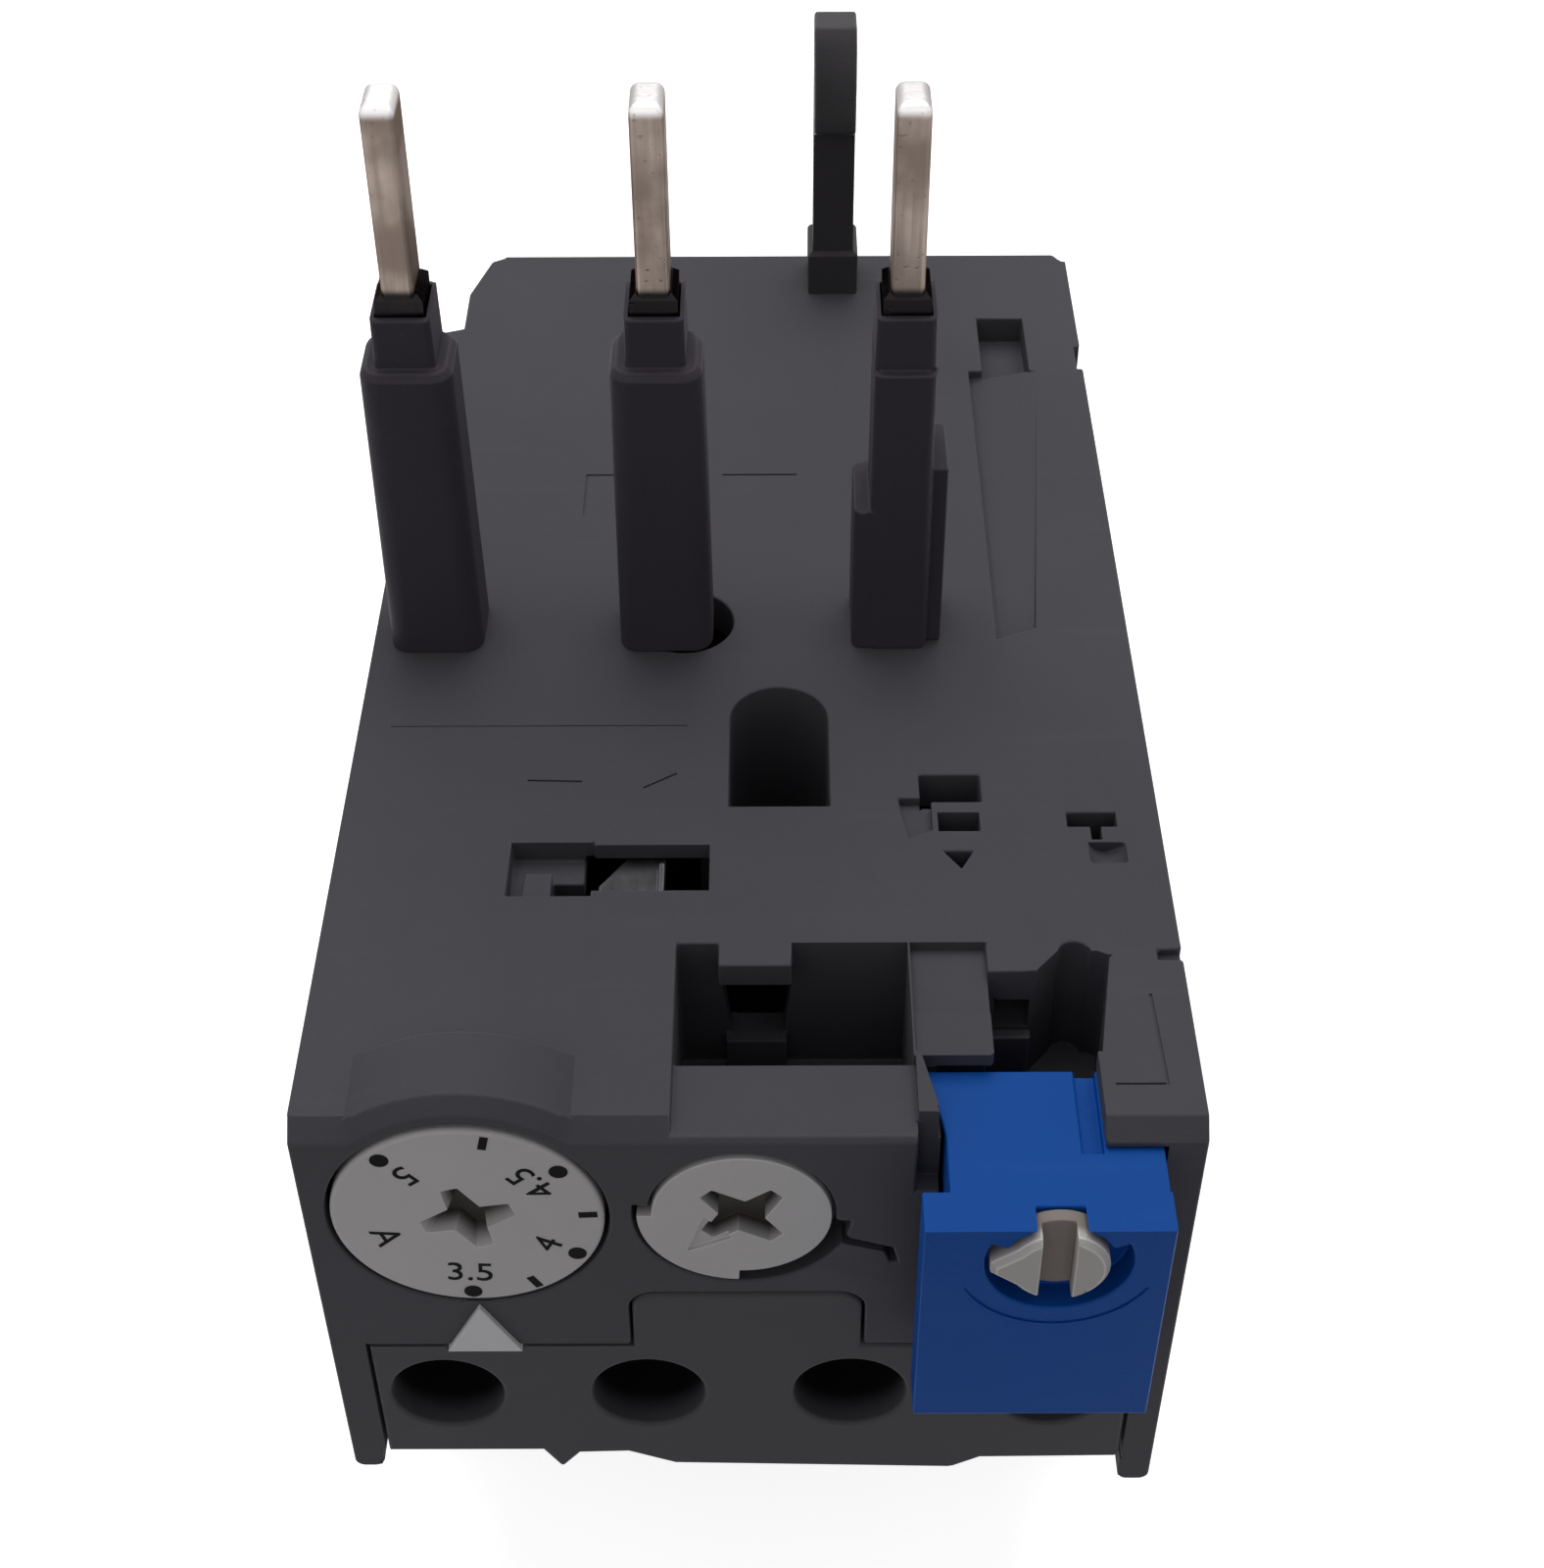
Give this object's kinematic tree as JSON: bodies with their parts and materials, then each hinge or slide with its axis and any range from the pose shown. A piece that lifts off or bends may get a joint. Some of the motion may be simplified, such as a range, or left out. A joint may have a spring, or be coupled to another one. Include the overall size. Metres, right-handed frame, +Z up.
{
  "type": "thermal overload relay",
  "caption": "Plug-on thermal overload relay: dark grey case, pins and hook on top, setting dial, test disc, blue reset button, screw terminals.",
  "frame": {"origin": "centre of the box round the whole relay, on its standing face", "axes": "+X to the right seen from the dial side, +Y from the dial face to the back, +Z up along the pins"},
  "size_m": [0.045, 0.0868, 0.0803],
  "materials": {
    "housing_plastic": "fine-grained moulded polyamide, dark grey",
    "block_plastic": "fine-grained moulded polyamide, dark grey",
    "hook_plastic": "moulded, near black",
    "white_plastic": "smooth moulded, cool white",
    "ivory_plastic": "smooth moulded, warm white",
    "blue_plastic": "smooth moulded, strong blue",
    "inner_plastic": "moulded, mid grey",
    "tinned_copper": "tin-plated, drawn grain",
    "plated_steel": "zinc-plated",
    "spring_steel": "bright rolled strip",
    "heater_ribbon": "oxidised resistance ribbon"
  },
  "bodies": {
    "housing": {"upper_housing": "housing_plastic", "base": "housing_plastic", "terminal_block": "block_plastic", "hook": "hook_plastic", "scale_pointer": "white_plastic", "reset_spring": "spring_steel", "main_screws": "plated_steel", "aux_screws": "plated_steel", "case_screws": "plated_steel", "lever_pin": "plated_steel", "sleeve_left": "housing_plastic", "pin_left": "tinned_copper", "bimetal_left": "spring_steel", "heater_left": "heater_ribbon", "main_bar_left": "tinned_copper", "main_clamp_left": "plated_steel", "sleeve_middle": "housing_plastic", "pin_middle": "tinned_copper", "bimetal_middle": "spring_steel", "heater_middle": "heater_ribbon", "main_bar_middle": "tinned_copper", "main_clamp_middle": "plated_steel", "sleeve_right": "housing_plastic", "pin_right": "tinned_copper", "bimetal_right": "spring_steel", "heater_right": "heater_ribbon", "main_bar_right": "tinned_copper", "main_clamp_right": "plated_steel", "aux_terminal_1": "tinned_copper", "aux_clamp_1": "plated_steel", "aux_terminal_2": "tinned_copper", "aux_clamp_2": "plated_steel", "aux_terminal_3": "tinned_copper", "aux_clamp_3": "plated_steel", "aux_terminal_4": "tinned_copper", "aux_clamp_4": "plated_steel"},
    "dial": {"setting_dial": "white_plastic", "setting_cam": "white_plastic"},
    "test_knob": {"test_disc": "white_plastic", "test_shaft": "hook_plastic"},
    "reset": {"reset_button": "blue_plastic"},
    "selector": {"reset_selector": "ivory_plastic"},
    "slide": {"trip_slide": "inner_plastic"},
    "lever": {"trip_lever": "inner_plastic", "trip_flag": "tinned_copper", "signal_bridge": "tinned_copper"},
    "carrier": {"bridge_carrier": "inner_plastic", "trip_bridge": "tinned_copper"}
  },
  "joints": [
    {"name": "dial_turn", "type": "hinge", "parent": "housing", "child": "dial", "pos_m": [-0.01418, -0.0379, 0.03928], "axis": [0, 1, 0], "range_deg": [0, 220]},
    {"name": "test_turn", "type": "hinge", "parent": "housing", "child": "test_knob", "pos_m": [-0.00038, -0.0379, 0.0394], "axis": [0, -1, 0], "range_deg": [0, 75]},
    {"name": "reset_press", "type": "slide", "parent": "housing", "child": "reset", "axis": [0, 1, 0], "range_m": [0, 0.0025], "stiffness_N_per_m": 600, "springref_m": -0.001, "deforming": ["reset_spring"]},
    {"name": "selector_turn", "type": "hinge", "parent": "reset", "child": "selector", "pos_m": [0.01495, -0.0424, 0.0421], "axis": [0, -1, 0], "range_deg": [0, 180]},
    {"name": "slide_trip", "type": "slide", "parent": "housing", "child": "slide", "axis": [1, 0, 0], "range_m": [0, 0.001], "stiffness_N_per_m": 600, "springref_m": -0.0005},
    {"name": "lever_trip", "type": "hinge", "parent": "housing", "child": "lever", "pos_m": [-0.0095, -0.0064, 0.038], "axis": [0, 0, 1], "range_deg": [0, 8.3]},
    {"name": "carrier_trip", "type": "slide", "parent": "housing", "child": "carrier", "axis": [0, 1, 0], "range_m": [0, 0.0012]}
  ],
  "couplings": [
    {"joint": "lever_trip", "follows": "slide_trip", "rad_per_m": 142.86},
    {"joint": "carrier_trip", "follows": "slide_trip", "ratio": 1.2}
  ]
}
